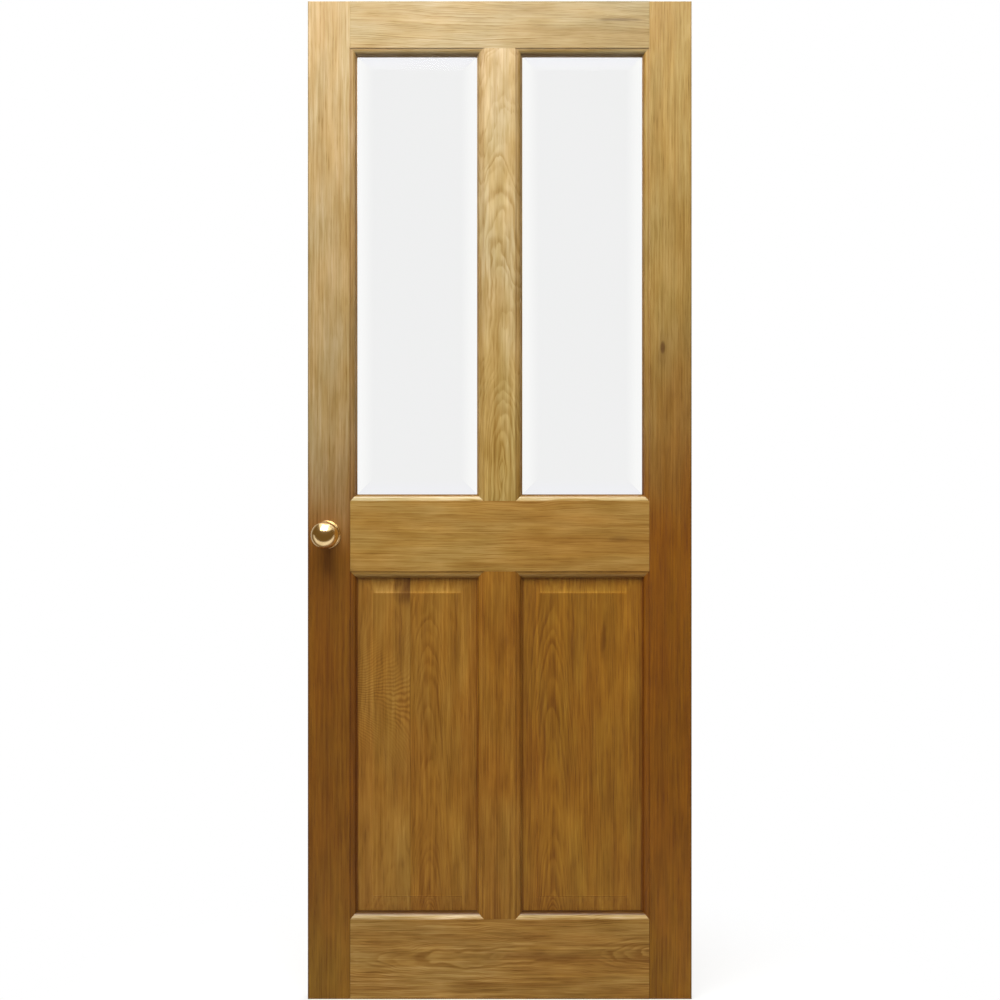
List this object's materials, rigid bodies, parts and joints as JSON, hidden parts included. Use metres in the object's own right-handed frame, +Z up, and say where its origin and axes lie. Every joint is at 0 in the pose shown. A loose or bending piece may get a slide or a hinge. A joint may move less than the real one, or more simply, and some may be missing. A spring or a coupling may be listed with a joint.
{
  "type": "panel door with glass",
  "caption": "Oak door leaf with bevelled glass panes over raised and fielded panels, moulded framing, and round brass knobs on a tubular latch.",
  "frame": {"origin": "foot of the hanging edge, in the middle of the leaf's thickness", "axes": "+X from the lock edge to the hanging edge, across the leaf; +Y from the front face to the back face; +Z up"},
  "size_m": [0.762, 0.171, 1.981],
  "materials": {
    "stile_oak": "oak, satin varnish",
    "rail_oak": "oak, satin varnish",
    "muntin_oak": "oak, satin varnish",
    "panel_oak": "oak, satin varnish",
    "bead_oak": "oak, satin varnish",
    "bevelled_glass": "clear, polished bevels",
    "polished_brass": "polished",
    "latch_steel": "zinc plated"
  },
  "bodies": {
    "door_leaf": {"lock_stile": "stile_oak", "hanging_stile": "stile_oak", "top_rail": "rail_oak", "lock_rail": "rail_oak", "bottom_rail": "rail_oak", "upper_muntin": "muntin_oak", "lower_muntin": "muntin_oak", "left_panel": "panel_oak", "right_panel": "panel_oak", "left_glass": "bevelled_glass", "right_glass": "bevelled_glass", "left_glass_bead_bottom": "bead_oak", "left_glass_bead_right": "bead_oak", "left_glass_bead_top": "bead_oak", "left_glass_bead_left": "bead_oak", "right_glass_bead_bottom": "bead_oak", "right_glass_bead_right": "bead_oak", "right_glass_bead_top": "bead_oak", "right_glass_bead_left": "bead_oak", "front_rose": "polished_brass", "back_rose": "polished_brass", "latch_case": "latch_steel", "latch_forend": "polished_brass", "latch_bolt": "polished_brass"},
    "knobs": {"front_knob": "polished_brass", "back_knob": "polished_brass", "spindle": "latch_steel"}
  },
  "joints": [
    {"name": "knob_turn", "type": "hinge", "parent": "door_leaf", "child": "knobs", "pos_m": [-0.724, 0, 0.922], "axis": [0, 1, 0], "range_deg": [-50, 50], "stiffness_Nm_per_rad": 0.6}
  ]
}
